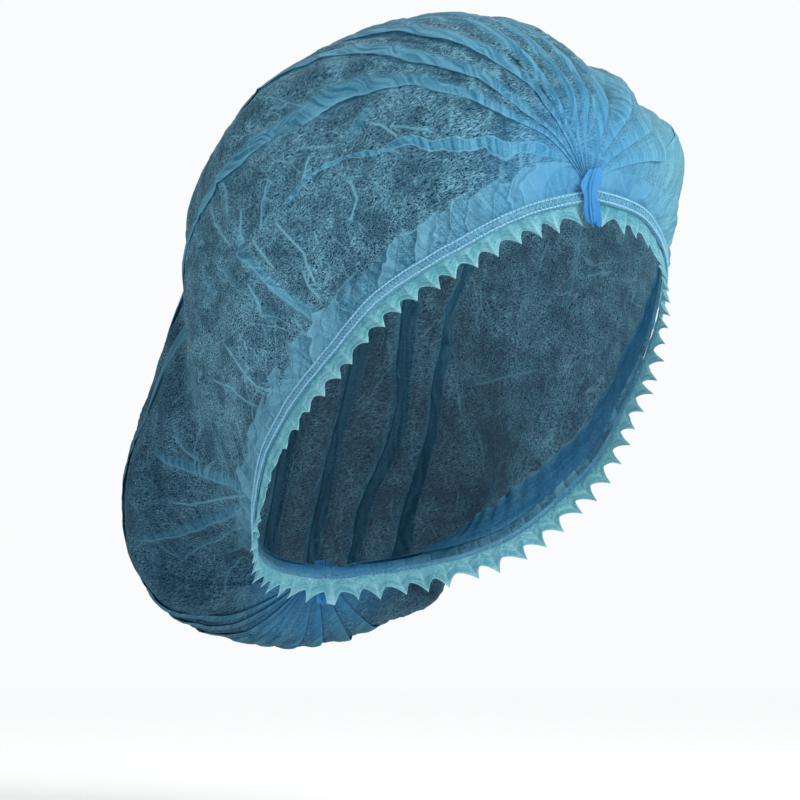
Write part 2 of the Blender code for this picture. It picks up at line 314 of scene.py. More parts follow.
# %% laying the cloth, row by row
# Rows from knot to knot, and columns of plain cloth between the folds from the right rim to the left
ROWS = 250
PLAIN_COLUMNS = (64, 12, 12, 9, 10, 10, 12, 14, 18, 20, 46)
FRONT_SHARE, BACK_SHARE = 0.001, 0.997
CROWDING = 0.25
FLATNESS = 0.60
ROOM_SHARE = 0.42
PUFF = 2.2 * MM
CROWN_RUN = 0.4


def arc(way):
    """For each way: the distance from the right rim at many places across, and those places."""
    across = np.linspace(0, 1, 401)
    points = crown(way[:, None], across[None, :])
    steps = np.linalg.norm(np.diff(points, axis=1), axis=-1)
    return across, np.concatenate([np.zeros((len(way), 1)), np.cumsum(steps, axis=1)], axis=1)


def fold_places(way, across, distance):
    """The middle of each fold in each row, how its width changes, and the room that it has."""
    centres = []
    for *_, places in FOLDS:
        place = read(dict(way=FOLD_WAYS, place=np.array(places)), "place", way)
        centres.append([np.interp(p, across, row) for p, row in zip(place, distance)])
    run, number = way * CROWN_RUN, np.arange(len(FOLDS))[:, None] * 1.0
    settled = ease(way, 0.02, 0.14) * (1 - ease(way, 0.86, 0.97))
    wander = 2.2 * MM * cloudy(run, number, 61, 0.034) + 1.0 * MM * cloudy(run, number, 62, 0.011)
    swing = 1 + 0.45 * cloudy(run, number, 63, 0.045) + 0.20 * cloudy(run, number, 64, 0.014)
    centres = np.array(centres) + wander * settled
    spacing = np.diff(centres, axis=0)
    room = np.minimum(np.vstack([spacing[:1], spacing]), np.vstack([spacing, spacing[-1:]]))
    return centres, swing, room


def lay_folds(way):
    """Lays each row's cloth across the crown: place, distance run, lift, layers, edge and length."""
    across, distance = arc(way)
    length = distance[:, -1]
    centres, swing, room = fold_places(way, across, distance)
    each_row, last = np.ones((len(way), 1)), np.zeros(len(way))
    runs, lifts, layers, edges = [], [], [], []
    for fold, (side, width, rise, _) in enumerate(FOLDS):
        along, high, layer, edge = (column[::side] for column in FOLD_SECTION.values())
        half = np.minimum(width * MM * swing[fold], room[fold] * ROOM_SHARE)
        height = FLATNESS * rise * MM * (0.45 + 0.55 * half / (width * MM))
        first = centres[fold] + side * along[0] * half
        plain = np.linspace(0, 1, PLAIN_COLUMNS[fold], endpoint=False)
        puff = PUFF * np.sin(math.pi * plain) if fold else 0 * plain
        runs.append(last[:, None] + (first - last)[:, None] * plain)
        runs.append(centres[fold][:, None] + side * along * half[:, None])
        lifts.append(np.outer(np.minimum(1, (first - last) / 0.02), puff))
        lifts.append(high * height[:, None])
        layers += [each_row * 0 * plain, each_row * layer]
        edges += [each_row * 0 * plain, each_row * edge]
        last = centres[fold] + side * along[-1] * half
    plain = np.linspace(0, 1, PLAIN_COLUMNS[-1])[1:]
    runs.append(last[:, None] + (length - last)[:, None] * plain)
    for kept in (lifts, layers, edges):
        kept.append(each_row * 0 * plain)
    run, lift, layer, edge = (np.concatenate(kept, axis=1) for kept in (runs, lifts, layers, edges))
    place = np.array([np.interp(r, row, across) for r, row in zip(run, distance)])
    return place, run, lift, layer, edge, length


u = np.linspace(0, 1, ROWS)
crowded = u - CROWDING * np.sin(2 * math.pi * u) / (2 * math.pi)
ways = FRONT_SHARE + (BACK_SHARE - FRONT_SHARE) * crowded
place, run, lift, layers, edge, row_length = lay_folds(ways)
way_grid = np.broadcast_to(ways[:, None], place.shape)
base = crown(way_grid, place)
normal = outward_on(crown, way_grid, place)
from_rim = np.minimum(run, row_length[:, None] - run)
print("cloth laid in", *place.shape, "rows and columns, widest row", round(row_length.max(), 3), "m")

# %% [markdown]
# ## Creases and gathers
#
# Between the folds the cloth has short creases, and above the elastic it has small gathers that
# stand square to the seam. Each is a line on the crown with a crisp side and a soft one. It raises
# the cloth a little, it shows part of a second layer, and its crisp side gets a painted highlight. All
# three are kept for each point of the cloth, so that the mesh and the material agree.

# %% the creases, as they are gathered point by point
LINE_REACH = 4 * MM
creased, shown, crease_power = np.zeros(place.shape), np.zeros(place.shape), np.zeros(place.shape)
crease_off = np.full(place.shape, LINE_REACH)


def keep_line(near, power):
    """Keeps a crisp line, which gets a painted highlight, at the points where it is nearer or stronger
    than those before it.
    """
    before = crease_power * (LINE_REACH - np.abs(crease_off))
    nearer = power * (LINE_REACH - np.abs(near)) > before
    crease_off[nearer] = near[nearer]
    crease_power[nearer] = power[nearer]


def add_crease(start, end, widths, rise, layer, line, mask=1.0):
    """Adds a crease between two points: its relief, its layers and its crisp line with a painted
    highlight.
    """
    way = end - start
    share = np.clip(((base - start) @ way) / np.linalg.norm(way) ** 2, 0, 1)
    off = base - (start + share[..., None] * way)
    side = (np.cross(normal, unit(way)) * off).sum(-1)
    far = np.linalg.norm(off, axis=-1)
    beyond = np.sqrt(np.maximum(far**2 - side**2, 0))
    width = widths[0] + (widths[1] - widths[0]) * share
    amount = ease(side, -0.7 * MM, 0.6 * MM) * (1 - ease(side, 0.45 * width, width))
    amount = amount * ease(share, 0, 0.15) * (1 - ease(beyond, 0, 4 * MM)) * mask
    np.maximum(creased, amount * rise * MM, out=creased)
    np.maximum(shown, amount * layer, out=shown)
    power = ease(share, 0, 0.12) * (1 - ease(share, 0.9, 1)) * (1 - ease(far, 2.2 * MM, 3.4 * MM))
    keep_line(np.where(side < 0, -far, far), power * line * mask)


def on_crown(way, across):
    """One point of the crown."""
    return crown(np.array(np.clip(way, 0, 1)), np.array(np.clip(across, 0.002, 0.998)))


# %% short creases
# From and to (way, across), width at both ends (mm), rise (mm), layers that it shows
CREASES = [
    ((0.41, 0.13), (0.31, 0.03), 2.5, 5.0, 1.2, 0.5),
    ((0.51, 0.23), (0.465, 0.13), 2.0, 4.0, 1.2, 0.4),
    ((0.46, 0.24), (0.40, 0.13), 2.0, 4.5, 1.3, 0.5),
    ((0.45, 0.15), (0.375, 0.06), 2.0, 5.0, 1.2, 0.5),
]


def scattered_creases(count, seed):
    """Short crinkles at random places, most of them along the folds."""
    draw = np.random.default_rng(seed)
    made = []
    for _ in range(count):
        way, across = draw.uniform(0.06, 0.94), draw.uniform(0.06, 0.94)
        reach = draw.uniform(0.02, 0.07)
        lean = draw.uniform(-0.07, 0.07)
        rise = draw.uniform(0.3, 0.9)
        widths = draw.uniform(0.8, 2), draw.uniform(1.5, 3.5)
        ends = (way - reach, across - lean), (way + reach, across + lean)
        made.append((*ends, *widths, rise, draw.uniform(0.1, 0.4)))
    return made


for start, end, start_width, end_width, rise, layer in scattered_creases(40, 7) + CREASES:
    ends = [crown(np.array(w), np.array(np.clip(a, 0.005, 0.995))) for w, a in (start, end)]
    add_crease(*ends, (start_width * MM, end_width * MM), rise, layer, min(1, 0.25 + layer))
print("short creases raise", round((creased > 0).mean(), 3), "of the cloth")


# %% gathers above the elastic
def gathers(seed):
    """Gathers above the elastic: where they start on the rim, how they lean and how long they are."""
    draw = np.random.default_rng(seed)
    made = []
    for rim_side in (0, 1):
        way = 0.045
        while way < 0.955:
            way += draw.uniform(0.018, 0.038)
            length = draw.uniform(0.008, 0.017)
            lean = draw.uniform(-0.008, 0.012)
            width, rise = draw.uniform(0.0030, 0.0055), draw.uniform(1.0, 2.0)
            made.append((rim_side, way, lean, length, width, rise))
    return made


for rim_side, way, lean, length, width, rise in gathers(11):
    share = length / np.interp(way, ways, row_length)
    low, high = (0.002, share) if rim_side == 0 else (0.998, 1 - share)
    mask = ease(from_rim, length * 1.25, length * 0.75)
    ends = on_crown(way, low), on_crown(way + lean, high)
    add_crease(*ends, (width, width * 0.7), rise, 0.25, 0.0, mask)
print(len(gathers(11)), "gathers above the elastic")

# %% [markdown]
# ## Lines and a ridge read one by one
#
# The photograph shows some creases and bands so well that they are read from it. Each is a
# named row of places in its 800 pixels. The camera is so far away that its view is flat: a scale
# and an origin turn a pixel into a line of sight, and the nearest point of the crown is the place.

# %% the photograph's view
PHOTO_SCALE = 2720
PHOTO_ORIGIN = (437, 366 + 0.010 * PHOTO_SCALE)
CAMERA_AZIMUTH = math.radians(-35)
view_from = np.array([math.sin(CAMERA_AZIMUTH), -math.cos(CAMERA_AZIMUTH), 0])
view_right = np.array([math.cos(CAMERA_AZIMUTH), math.sin(CAMERA_AZIMUTH), 0])
seen_x = PHOTO_ORIGIN[0] + PHOTO_SCALE * (base @ view_right)
seen_y = PHOTO_ORIGIN[1] - PHOTO_SCALE * base[..., 2]
faces_view = normal @ view_from > 0.03


def at_photo(x, y):
    """The point of the crown that the photo shows at a place."""
    far = np.where(faces_view, np.hypot(seen_x - x, seen_y - y), np.inf)
    return base[np.unravel_index(np.argmin(far), far.shape)]


def beside_line(places):
    """The distance of each point to a line of places, with its side, and how far along it is."""
    far, side_of, along_it = np.ones(place.shape), np.ones(place.shape), np.zeros(place.shape)
    steps = np.linalg.norm(np.diff(places, axis=0), axis=-1)
    before = np.concatenate([[0], np.cumsum(steps)])
    for start, end, step, done in zip(places[:-1], places[1:], steps, before):
        line = end - start
        share = np.clip(((base - start) @ line) / step**2, 0, 1)
        off = base - (start + share[..., None] * line)
        distance = np.linalg.norm(off, axis=-1)
        nearer = distance < far
        far[nearer] = distance[nearer]
        side_of[nearer] = np.sign((np.cross(normal, line) * off).sum(-1))[nearer]
        along_it[nearer] = ((done + share * step) / before[-1])[nearer]
    return far, far * side_of, along_it


print("one pixel is", round(1 / PHOTO_SCALE / MM, 2), "mm")

# %% bands and crisp lines
# Name, half the band's width (pixels), how much of a second layer it shows, how bright the painted
# highlight on its crisp line is, and its places
LINES = (
    ("below_top_fold", 1.0, 0.1, 0.9, (369, 127), (382, 131), (400, 144)),
    ("over_ridge", 1.0, 0.1, 0.5, (298, 154), (315, 152), (338, 150)),
    ("ridge_branch", 2.0, 0.4, 0.9, (313, 160), (308, 179), (305, 188)),
    ("side_upper", 1.0, 0.1, 0.6, (222, 168), (229, 195), (233, 218)),
    ("ridge_tail", 2.6, 0.5, 0.8, (274, 180), (266, 205), (264, 238)),
    ("side_hook", 1.5, 0.2, 0.7, (246, 211), (245, 237), (247, 246), (239, 261)),
    ("temple_long", 1.0, 0.2, 0.9, (275, 224), (289, 238), (306, 257), (321, 290)),
    ("temple_short", 1.0, 0.1, 0.8, (255, 242), (266, 255), (280, 272)),
    ("temple_band", 5.0, 0.7, 0.6, (237, 256), (255, 266), (281, 294), (311, 313), (323, 326)),
    ("middle_zigzag", 1.5, 0.2, 0.9, (348, 184), (357, 202), (353, 214), (350, 229)),
    ("middle_dash", 1.0, 0.1, 0.6, (315, 234), (319, 250)),
    ("side_lower", 1.2, 0.2, 0.7, (213, 192), (214, 208), (219, 223), (231, 241), (237, 251)),
    ("temple_hook", 1.5, 0.2, 0.8, (311, 262), (308, 275), (311, 286), (326, 302)),
    ("ear_upper", 1.5, 0.2, 0.8, (250, 285), (264, 304), (270, 320)),
    ("ear_dash", 1.0, 0.1, 0.6, (297, 316), (306, 334)),
    ("top_band", 9.0, 0.5, 0.0, (374, 114), (364, 122), (352, 140)),
    ("top_line", 1.2, 0.1, 0.6, (388, 132), (410, 136), (436, 139)),
    ("across_left", 1.5, 0.2, 0.3, (451, 113), (448, 140)),
    ("across_right", 1.5, 0.2, 0.3, (490, 112), (484, 136)),
    ("ear_curve", 1.5, 0.2, 0.8, (225, 343), (241, 363), (260, 386), (287, 394)),
    ("ear_lower", 1.2, 0.1, 0.6, (209, 381), (232, 389), (253, 403), (262, 408)),
    ("bag_top", 3.0, 0.5, 0.6, (174, 432), (186, 447), (202, 462)),
    ("bag_band", 7.0, 0.8, 0.5, (152, 449), (170, 460), (192, 468), (218, 478), (240, 484), (262, 488)),
    ("bag_line", 1.5, 0.2, 1.0, (166, 501), (192, 504), (212, 501), (230, 497), (250, 494)),
    ("bag_fold", 6.5, 0.8, 0.6, (127, 541), (152, 538), (176, 532), (199, 524), (222, 516), (250, 507)),
    ("bag_below_fold", 2.6, 0.5, 0.8, (176, 565), (199, 544), (220, 536), (246, 523)),
    ("bag_short", 2.0, 0.4, 0.5, (223, 553), (238, 547), (243, 535)),
    ("bag_low_curve", 2.2, 0.4, 0.9, (221, 600), (222, 585), (227, 570), (236, 560), (262, 553)),
    ("bag_lowest", 1.2, 0.2, 0.6, (232, 610), (243, 590), (245, 578), (264, 562)),
    ("bag_back", 3.5, 0.4, 0.2, (151, 549), (153, 575)),
    ("lobe_band", 3.0, 0.6, 0.5, (594, 76), (590, 108), (587, 150)),
    ("lobe_line", 1.5, 0.2, 0.6, (604, 136), (625, 126), (646, 120), (664, 124)),
    ("lobe_middle", 2.0, 0.3, 0.4, (622, 146), (630, 160), (636, 174)),
    ("lobe_side", 3.0, 0.4, 0.5, (668, 172), (662, 190), (664, 222)),
    ("lobe_low", 1.5, 0.2, 0.6, (604, 172), (619, 180), (625, 206)),
)
BAND_RISE = 1.1 * MM

for _, half, layer, bright, *places in LINES:
    far, near, along_it = beside_line(np.array([at_photo(*spot) for spot in places]))
    half = half / PHOTO_SCALE * (0.5 + 0.5 * ease(along_it, 0, 0.45))
    fade = ease(along_it, 0, 0.10) * (1 - 0.7 * ease(along_it, 0.85, 1))
    fade = fade * (1 - ease(far, 2 * half, 2 * half + 2 * MM))
    band_on = 1 - ease(far, half * 0.5 + 0.2 * MM, half + 1.0 * MM)
    np.maximum(creased, BAND_RISE * layer * band_on * fade, out=creased)
    np.maximum(shown, layer * band_on * fade, out=shown)
    power = bright * ease(along_it, 0, 0.12) * (1 - ease(along_it, 0.9, 1))
    power = power * (1 - ease(far, 3.0 * MM, 4.2 * MM))
    # A wide band has its crisp line at its side, and a narrow one in its middle
    keep_line(near + half * 0.6 * (layer > 0.35), power)
print(len(LINES), "lines from", LINES[0][0], "to", LINES[-1][0])

# %% the wavy light ridge above the right temple
# From the knot to the ear: x, y and half the ridge's width, in the photo's pixels
RIDGE = table(
    "x y half",
    (575, 165, 2.5),
    (556, 162, 4),
    (531, 156, 6),
    (503, 157, 9),
    (484, 150, 7),
    (465, 153, 7),
    (447, 151, 9),
    (430, 154, 6),
    (413, 148, 7),
    (401, 152, 6),
    (377, 158, 3.5),
    (345, 161, 2.5),
    (322, 172, 2.5),
    (308, 186, 3.2),
    (290, 204, 2.6),
    (274, 217, 2),
)
ridge = np.array([at_photo(*spot) for spot in zip(RIDGE["x"], RIDGE["y"])])
far, _, along_it = beside_line(ridge)
ridge_run = np.concatenate([[0], np.cumsum(np.linalg.norm(np.diff(ridge, axis=0), axis=-1))])
half = np.interp(along_it, ridge_run / ridge_run[-1], RIDGE["half"] / PHOTO_SCALE)
print("ridge", round(ridge_run[-1] / MM), "mm long, up to", round(2 * half.max() / MM, 1), "mm wide")

# %% [markdown]
# ## A sheet from a grid of points
#
# Each piece of cloth is one sheet of quads with no thickness, as real cloth is too thin to show
# one. Numbers on its points tell the material where folds, creases and knots are. Its flat map
# holds distances over the cloth, in metres, so that patterns keep their real size.


# %% meshes and maps
def add_map(piece, title, places):
    """Adds a flat map that gives each point its place, in metres."""
    corner = np.zeros(len(piece.data.loops), int)
    piece.data.loops.foreach_get("vertex_index", corner)
    layer = piece.data.uv_layers.new(name=title)
    layer.uv.foreach_set("vector", places.reshape(-1, 2)[corner].reshape(-1))


def flat_map(points):
    """Distances over the cloth from its middle, along its rows and along its columns."""
    across = np.linalg.norm(np.diff(points, axis=1), axis=-1)
    along = np.linalg.norm(np.diff(points, axis=0), axis=-1)
    across = np.pad(np.cumsum(across, axis=1), ((0, 0), (1, 0)))
    along = np.pad(np.cumsum(along, axis=0), ((1, 0), (0, 0)))
    across -= across[:, [points.shape[1] // 2]]
    along -= along[[points.shape[0] // 2], :]
    return np.stack([across, along], -1)


def sheet_piece(name, points, closed=False, uv=None, **numbers):
    """Makes a sheet from rows of points, with numbers on its points and a flat map in metres."""
    rows, columns = points.shape[:2]
    index = np.arange(rows * columns).reshape(rows, columns)
    if closed:
        index = np.vstack([index, index[:1]])
    a, b, c, d = index[:-1, :-1], index[:-1, 1:], index[1:, 1:], index[1:, :-1]
    faces = np.stack([a, b, c, d], -1).reshape(-1, 4)
    mesh = bpy.data.meshes.new(name)
    mesh.vertices.add(rows * columns)
    mesh.vertices.foreach_set("co", points.reshape(-1))
    mesh.loops.add(faces.size)
    mesh.loops.foreach_set("vertex_index", faces.reshape(-1))
    mesh.polygons.add(len(faces))
    mesh.polygons.foreach_set("loop_start", np.arange(0, faces.size, 4))
    mesh.update(calc_edges=True)
    mesh.validate()
    mesh.shade_smooth()
    for title, values in numbers.items():
        values = np.broadcast_to(values, (rows, columns)).reshape(-1)
        mesh.attributes.new(title, "FLOAT", "POINT").data.foreach_set("value", values)
    made = bpy.data.objects.new(name, mesh)
    bpy.context.scene.collection.objects.link(made)
    add_map(made, "flat", flat_map(points) if uv is None else uv)
    print(name, 2 * len(mesh.polygons), "triangles")
    return made


# %% [markdown]
# ## The crown
#
# The crown is single cloth over the whole head. Its relief is the sum of the folds, the creases and
# the ridge, with soft billows 12 to 30 mm wide and crinkles 6 mm wide from seeded noise. All of it
# fades out at the knots and at the rim, where the cloth is held.

# %% relief
flat = flat_map(base)
x, y = flat[..., 0], flat[..., 1]
ripple = half * (1 + 0.22 * np.sin(y / (2.3 * MM)) + 0.30 * cloudy(x, y, 5, 9 * MM))
ridge_on = 1 - ease(far, ripple * 0.5, ripple + 0.5 * MM)
ridge_fade = ease(along_it, 0, 0.06) * (1 - 0.5 * ease(along_it, 0.9, 1))
ridge_off = far / np.maximum(ripple, 0.6 * MM) + 2 * (1 - ridge_fade)
creased = np.maximum(creased, 0.45 * np.minimum(half, 2.6 * MM) * ridge_on * ridge_fade)

billow = 1.2 * MM * cloudy(x, y, 1, 30 * MM) + 0.6 * MM * cloudy(x, y, 2, 12 * MM)
billow = billow * ease(from_rim, 2 * MM, 20 * MM)
crinkle = 0.35 * MM * (1 - np.abs(cloudy(x * 1.6, y * 0.7, 3, 6 * MM)) * 2)
at_knot = ease(way_grid, 0.02, 0.08) * (1 - ease(way_grid, 0.93, 0.985))
height = lift + (creased + billow + crinkle) * at_knot * ease(from_rim, 0, 3 * MM)
points = base + height[..., None] * normal
print("relief from", round(height.min() / MM, 1), "to", round(height.max() / MM, 1), "mm")

# %% what the material has to know
FRONT_KNOT, BACK_KNOT = rim(np.array(0.0)), rim(np.array(0.5))
layers = np.clip(np.maximum(layers, shown), 0, 1)
# Loose cloth of the lobe over the left brow, painted shade that deepens over the bag at the nape, and
# cloth drawn to the knots
free = np.exp(-(((way_grid - 0.14) / 0.13) ** 2) - ((place - 0.86) / 0.22) ** 2)
deep = ease(way_grid, 0.36, 0.84)
knot = 2 - ease(np.linalg.norm(points - FRONT_KNOT, axis=-1), 12 * MM, 55 * MM)
knot = knot - ease(np.linalg.norm(points - BACK_KNOT, axis=-1), 10 * MM, 45 * MM)


def widen(values):
    """Repeats the first and the last column, for the two columns that go under the elastic."""
    return np.pad(values, ((0, 0), (1, 1)), mode="edge")


# %% the crown's mesh
TUCK_IN, TUCK_BACK = 0.6 * MM, 0.4 * MM
right_tuck, left_tuck = (rim_offset(t, -TUCK_IN, -TUCK_BACK)[:, None] for t in (ways / 2, 1 - ways / 2))
points = np.concatenate([right_tuck, points, left_tuck], axis=1)
# The bunch lies a little to the wearer's right, so the cloth round it is drawn that way
DRAWN_REACH = 28 * MM
rim_slope = SECTIONS["rim_across"][1] / SECTIONS["way"][1]
drawn = bump(np.linalg.norm(points - FRONT_KNOT, axis=-1) / DRAWN_REACH)
points[..., 0] -= 2 * TUFT_TURN_SHARE * rim_slope * HEAD_HALF_WIDTH * drawn
crown_piece = sheet_piece(
    "pleated_crown",
    points,
    layers=widen(layers),
    edge=widen(edge),
    knot=widen(knot),
    crease_off=widen(crease_off),
    crease_power=widen(crease_power),
    ridge_off=widen(ridge_off),
    free=widen(free),
    deep=widen(deep),
)
rim_steps = np.linalg.norm(np.diff(rim(ways / 2), axis=0), axis=-1)
rim_run = np.concatenate([[0], np.cumsum(rim_steps)])[:, None] * np.where(place < 0.5, 1, -1)
add_map(crown_piece, "seam", np.stack([widen(rim_run), widen(from_rim)], -1))
print("crown's cloth", round(sum(face.area for face in crown_piece.data.polygons), 4), "square metres")

# %% [markdown]
# ## The turned-in edges
#
# The edge of the cloth is turned in by about 13 mm, so a second layer lies inside the crown there
# and shows through as a lighter strip. It is a ribbon of its own, with a ragged upper edge.

# %% hems
HEM_COLUMNS, HEM_WIDTH, HEM_RAGGED = 9, 12.5 * MM, 1.6 * MM
HEM_DEPTH, HEM_RIPPLE = 1.1 * MM, 0.5 * MM
SIDE_RUN = 0.28


def hem_piece(name, rim_side):
    """The turned-in edge on one side: a ribbon inside the crown with a ragged upper edge."""
    kept = slice(6, ROWS - 10)
    rows = ways[kept]
    x = np.linspace(0, 1, HEM_COLUMNS)
    run = (rim_side + rows) * SIDE_RUN
    wide = HEM_WIDTH + HEM_RAGGED * cloudy(run, run * 0, 21 + rim_side, 7 * MM)
    share = x[None, :] * (wide / row_length[kept])[:, None] + 0.0005
    across = share if rim_side == 0 else 1 - share
    way = np.broadcast_to(rows[:, None], across.shape)
    ripple = HEM_RIPPLE * np.sin(run / (1.4 * MM))[:, None] * x[None, :]
    made = crown(way, across) - (HEM_DEPTH + ripple)[..., None] * outward_on(crown, way, across)
    # Its ragged upper edge gets a painted highlight
    return sheet_piece(name, made, layers=0.5, edge=bump((x - 1) / 0.10), knot=0.0)


hem_right = hem_piece("turned_hem_right", 0)
hem_left = hem_piece("turned_hem_left", 1)

# %% [markdown]
# ## The elastic
#
# A flat elastic is stretched, covered by the cloth, sewn through with two rows and let go. The cover
# puffs up a little between the rows and gets fine ribs square to them.

# %% the elastic under its cover of cloth
BAND_ROWS, BAND_COLUMNS = 1200, 9
RIB_PITCH = 2.4 * MM
share = np.arange(BAND_ROWS)[:, None] / BAND_ROWS
band_run = share * ELASTIC_LENGTH
v = np.linspace(0, 1, BAND_COLUMNS)
rib = 0.12 * MM * np.sin(2 * math.pi * band_run / RIB_PITCH)
puffed = 0.5 * MM + (0.4 * MM + rib) * np.sin(math.pi * v)
puffed = puffed + 0.25 * MM * cloudy(band_run, v * 5 * MM, 31, 4 * MM)
faceward = np.broadcast_to(BAND_WIDTH * (v - 0.5), puffed.shape)
band_points = rim_offset(np.broadcast_to(even_turn(share), puffed.shape), puffed, faceward)
band_map = np.stack(np.broadcast_arrays(v * BAND_WIDTH, band_run), -1)
numbers = dict(layers=0.7, edge=0.0, knot=0.0)
band = sheet_piece("elastic_tape", band_points, closed=True, uv=band_map, **numbers)

# %% [markdown]
# ## The stitches
#
# Two rows of lock stitch, 1.5 mm long, with a looper thread that crosses between them. The thread is
# 0.3 mm thick. It is drawn 0.8 mm thick, because a thinner one would not show in a picture where a
# pixel is 0.4 mm. The stitches could be a texture, but as cords they catch the light.

# %% thread
STITCH_PITCH = 1.5 * MM
STITCHES = round(ELASTIC_LENGTH / STITCH_PITCH)
STITCH_SPREAD = 1.45 * MM
THREAD_RADIUS, LOOPER_RADIUS = 0.40 * MM, 0.10 * MM


def thread(name, path, radius, sides=5):
    """A round thread along a closed path of points."""
    along = unit(np.roll(path, -1, axis=0) - path)
    aside = unit(np.cross(along, np.array([0.3, 0.2, 0.93])))
    up = np.cross(along, aside)
    angle = (2 * math.pi * np.arange(sides + 1) / sides)[None, :, None]
    ring = np.cos(angle) * aside[:, None] + np.sin(angle) * up[:, None]
    return sheet_piece(name, path[:, None] + radius * ring, closed=True)


def stitch_row(name, at, phase):
    """A lock-stitch row: thread that dips into the cloth at each hole."""
    turn = np.arange(STITCHES * 6) / (STITCHES * 6)
    dip = np.abs(np.sin(math.pi * (turn * STITCHES + phase)))
    wander = 0.12 * MM * cloudy(turn * ELASTIC_LENGTH, turn * 0, 41, 6 * MM)
    path = rim_offset(even_turn(turn), 0.70 * MM + 0.45 * MM * dip**0.5, at + wander)
    return thread(name, path, THREAD_RADIUS)


def zigzag(name):
    """The looper thread that crosses between the two rows."""
    turn = np.arange(STITCHES * 8) / (STITCHES * 8)
    swing = np.arcsin(np.sin(2 * math.pi * turn * STITCHES)) * 2 / math.pi
    path = rim_offset(even_turn(turn), 0.98 * MM + 0 * turn, STITCH_SPREAD * 0.95 * swing)
    return thread(name, path, LOOPER_RADIUS, sides=4)


stitches = [
    stitch_row("stitch_row_upper", -STITCH_SPREAD, 0.0),
    stitch_row("stitch_row_lower", STITCH_SPREAD, 0.5),
    zigzag("stitch_crossing"),
]
print(STITCHES, "stitches in each row")

# %% [markdown]
# ## The frill
#
# Past the elastic the edge of the cloth stands free. The elastic draws it into small folds, and each
# folded tip sticks out as a tooth. A tooth could be one shape that is repeated, but real ones
# differ, so each has its own length, lean and stand. Under the bunched ends the frill is pressed flat.

# %% one row of numbers for each tooth
STEPS_PER_TOOTH, RUFFLE_COLUMNS = 22, 13
draw = np.random.default_rng(3)
tooth_length = draw.uniform(0.86, 1.08, RUFFLE_TEETH)
tooth_lean = draw.uniform(-0.16, 0.16, RUFFLE_TEETH)
tooth_stand = draw.uniform(0.5, 1.25, RUFFLE_TEETH)
u = np.arange(RUFFLE_TEETH * STEPS_PER_TOOTH)[:, None] / STEPS_PER_TOOTH
share = u / RUFFLE_TEETH
tooth = np.round(u).astype(int) % RUFFLE_TEETH
phase = u - np.round(u)
fold = 1 - 2 * np.abs(phase)
v = np.linspace(0, 1, RUFFLE_COLUMNS)
print("shares of the full length, from", tooth_length.min().round(2), "to", tooth_length.max().round(2))

# %% the frill's mesh
SEAM_OVERLAP = 0.7 * MM
length = RUFFLE_LENGTH * (0.42 + 0.56 * fold**1.8 * tooth_length[tooth])
hook = np.where(share < 0.5, -0.22, 0.22) + tooth_lean[tooth]
even = even_turn(share + hook * fold * v**1.5 / RUFFLE_TEETH)
from_knot = np.minimum(np.mod(share, 0.5), 0.5 - np.mod(share, 0.5))
under_tuft = 1 - ease(from_knot, 0.5 / RUFFLE_TEETH, 1.6 / RUFFLE_TEETH)
stand = 1.6 * MM * tooth_stand[tooth] * (fold**1.6 * 1.9 - 0.45) * (1 - under_tuft)
stand = (stand - 1.4 * MM * under_tuft) * v**0.8 - 0.3 * MM
flutter = 0.5 * MM * cloudy(share * ELASTIC_LENGTH, v * 10 * MM, 51, 4 * MM) * v
fluting = 0.25 * MM * np.sin(2 * math.pi * u * 3 + 1) * v * (1 - v * 0.5)
faceward = BAND_WIDTH / 2 - SEAM_OVERLAP + v * (length + 1.2 * MM)
ruffle_points = rim_offset(even, stand + flutter + fluting, faceward)
# The rim and the middle ridge of each tooth get a painted highlight
tooth_ridge_highlight = bump(phase / 0.045) * ease(v, 0.1, 0.5)
ruffle = sheet_piece(
    "toothed_frill",
    ruffle_points,
    closed=True,
    layers=0.45 + 0.35 * fold,
    edge=np.clip(bump((v - 1) / 0.07) + 0.8 * tooth_ridge_highlight, 0, 1),
    knot=0.0,
)

# %% [markdown]
# ## The bunched ends
#
# All the folds of the strip end in one bunch, which is welded and hangs over the elastic as a short
# tail. It is modelled as a tube with deep folds that is narrow at the weld and flares below it.

# %% the tufts
TUFT_ROWS, TUFT_COLUMNS = 46, 96
# How often a fold comes round the bunch, and how deep it is
TUFT_FOLDS = ((3, 0.20), (5, 0.20), (8, 0.14), (13, 0.06))


def tuft(name, turn, length, width, seed, drop=0.0):
    """A bunch of folded cloth that hangs down over the elastic."""
    direction, outward, faceward = rim_frame(np.array(turn))
    angle = np.linspace(0, 2 * math.pi, TUFT_COLUMNS + 1)
    t = np.linspace(0, 1, TUFT_ROWS)[:, None]
    starts = np.random.default_rng(seed).uniform(0, 6.3, len(TUFT_FOLDS))
    waves = [deep * np.cos(k * (angle + 0.9 * t) + p) for (k, deep), p in zip(TUFT_FOLDS, starts)]
    folds = sum(waves)
    neck = 0.50 + 0.42 * bump((t - 0.22) / 0.17) + 0.18 * ease(t, 0.45, 0.75)
    neck = neck - 0.12 * ease(t, 0.9, 1)
    radius = neck * (1 + folds * (0.8 + 0.5 * t))
    ragged = 0.06 * np.cos(7 * angle + 1) + 0.04 * np.cos(11 * angle)
    down = (t + ragged * t**3 - 0.50) * length + drop
    x = radius * width / 2 * np.cos(angle) - 3.6 * MM * (1 - t) ** 2 + 0.7 * MM * np.sin(5 * t)
    y = np.maximum(radius * np.sin(angle), -0.9) * width * 0.36
    middle = rim(np.array(turn)) + outward * (1.4 * MM + width * 0.30)
    made = middle + x[..., None] * direction + y[..., None] * outward + down[..., None] * faceward
    # The last row goes inside, and the first one nearly closes the top
    inside = made[-1] + (middle + faceward * (0.50 * length + drop) - made[-1]) * 0.45
    top = made[0] + (middle - faceward * (0.40 * length - drop) - made[0]) * 0.7
    made = np.concatenate([top[None], made, inside[None]])
    # The crests of the folds get a painted highlight
    return sheet_piece(name, made, layers=0.85, edge=np.clip(folds[0] / 0.3, 0, 1) * 0.6, knot=1.5)


